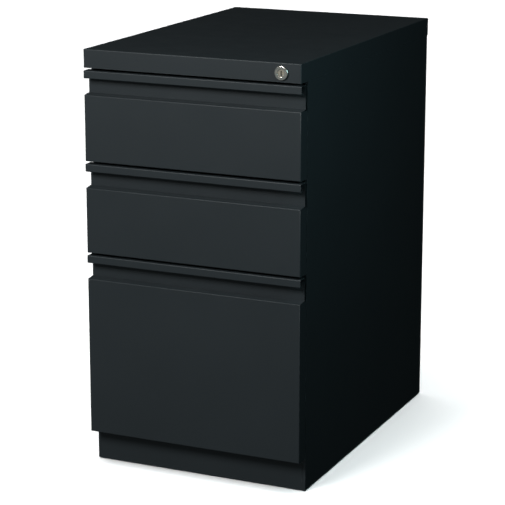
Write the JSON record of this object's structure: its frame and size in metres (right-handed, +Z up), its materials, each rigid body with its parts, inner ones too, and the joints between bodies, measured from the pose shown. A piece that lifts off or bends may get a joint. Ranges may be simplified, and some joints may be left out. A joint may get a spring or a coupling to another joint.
{
  "type": "filing cabinet",
  "caption": "Desk-height steel pedestal: box drawers over a file drawer, full-width pulls at their top edges, ball slides and a gang lock.",
  "frame": {"origin": "on the floor under the middle of the cabinet's bounding box", "axes": "+Z up, -Y towards the drawer faces, +X to the cabinet's right as seen from the front"},
  "size_m": [0.381, 0.584, 0.705],
  "materials": {
    "case_paint": "satin charcoal powder coat",
    "face_paint": "satin charcoal powder coat",
    "tray_paint": "satin charcoal powder coat",
    "slide_steel": "bright zinc-plated roll-formed steel",
    "zinc_sheet": "galvanised sheet",
    "screw_zinc": "zinc-plated",
    "lock_nickel": "bright nickel plate",
    "plug_nickel": "satin nickel plate",
    "foot_plastic": "moulded black nylon",
    "bumper_rubber": "matt rubber",
    "weight_iron": "dull cast iron"
  },
  "bodies": {
    "cabinet": {"side_panel_left": "case_paint", "side_panel_right": "case_paint", "back_panel": "case_paint", "top_cap": "case_paint", "bottom_pan": "case_paint", "plinth_front": "case_paint", "base_rail_front": "zinc_sheet", "base_rail_rear": "zinc_sheet", "foot_pads": "foot_plastic", "front_post_left": "zinc_sheet", "front_post_right": "zinc_sheet", "rear_post_left": "zinc_sheet", "rear_post_right": "zinc_sheet", "top_rail_front": "zinc_sheet", "counterweight": "weight_iron", "drawer_bumpers": "bumper_rubber", "lock_housing": "lock_nickel", "lock_nut": "screw_zinc", "lock_bar_guides": "zinc_sheet", "slide_1_left_cabinet": "slide_steel", "slide_1_right_cabinet": "slide_steel", "slide_2_left_cabinet": "slide_steel", "slide_2_right_cabinet": "slide_steel", "slide_3_left_cabinet": "slide_steel", "slide_3_right_cabinet": "slide_steel"},
    "drawer_1": {"drawer_1_front": "face_paint", "drawer_1_tray": "tray_paint", "drawer_1_stiffener": "zinc_sheet", "drawer_1_screws": "screw_zinc", "drawer_1_catch": "zinc_sheet", "slide_1_left_drawer": "slide_steel", "slide_1_right_drawer": "slide_steel"},
    "runners_1": {"slide_1_left_middle": "slide_steel", "slide_1_right_middle": "slide_steel"},
    "drawer_2": {"drawer_2_front": "face_paint", "drawer_2_tray": "tray_paint", "drawer_2_stiffener": "zinc_sheet", "drawer_2_screws": "screw_zinc", "drawer_2_catch": "zinc_sheet", "slide_2_left_drawer": "slide_steel", "slide_2_right_drawer": "slide_steel"},
    "runners_2": {"slide_2_left_middle": "slide_steel", "slide_2_right_middle": "slide_steel"},
    "drawer_3": {"drawer_3_front": "face_paint", "drawer_3_tray": "tray_paint", "drawer_3_stiffener": "zinc_sheet", "drawer_3_screws": "screw_zinc", "drawer_3_catch": "zinc_sheet", "slide_3_left_drawer": "slide_steel", "slide_3_right_drawer": "slide_steel", "folder_rail_left": "zinc_sheet", "folder_rail_right": "zinc_sheet"},
    "runners_3": {"slide_3_left_middle": "slide_steel", "slide_3_right_middle": "slide_steel"},
    "lock_core": {"lock_plug": "plug_nickel", "lock_cam": "zinc_sheet", "cam_screw": "screw_zinc"},
    "lock_lift": {"lock_bar": "zinc_sheet"}
  },
  "joints": [
    {"name": "drawer_1_pull", "type": "slide", "parent": "cabinet", "child": "drawer_1", "axis": [0, -1, 0], "range_m": [0, 0.48]},
    {"name": "runners_1_slide", "type": "slide", "parent": "cabinet", "child": "runners_1", "axis": [0, -1, 0], "range_m": [0, 0.24]},
    {"name": "drawer_2_pull", "type": "slide", "parent": "cabinet", "child": "drawer_2", "axis": [0, -1, 0], "range_m": [0, 0.48]},
    {"name": "runners_2_slide", "type": "slide", "parent": "cabinet", "child": "runners_2", "axis": [0, -1, 0], "range_m": [0, 0.24]},
    {"name": "drawer_3_pull", "type": "slide", "parent": "cabinet", "child": "drawer_3", "axis": [0, -1, 0], "range_m": [0, 0.48]},
    {"name": "runners_3_slide", "type": "slide", "parent": "cabinet", "child": "runners_3", "axis": [0, -1, 0], "range_m": [0, 0.24]},
    {"name": "lock_turn", "type": "hinge", "parent": "cabinet", "child": "lock_core", "pos_m": [0.1575, -0.289, 0.689], "axis": [0, -1, 0], "range_deg": [0, 90]},
    {"name": "lock_bar_lift", "type": "slide", "parent": "cabinet", "child": "lock_lift", "axis": [0, 0, 1], "range_m": [0, 0.01414]}
  ],
  "couplings": [
    {"joint": "runners_1_slide", "follows": "drawer_1_pull", "ratio": 0.5},
    {"joint": "runners_2_slide", "follows": "drawer_2_pull", "ratio": 0.5},
    {"joint": "runners_3_slide", "follows": "drawer_3_pull", "ratio": 0.5},
    {"joint": "lock_turn", "follows": "lock_bar_lift", "rad_per_m": 111.06}
  ]
}
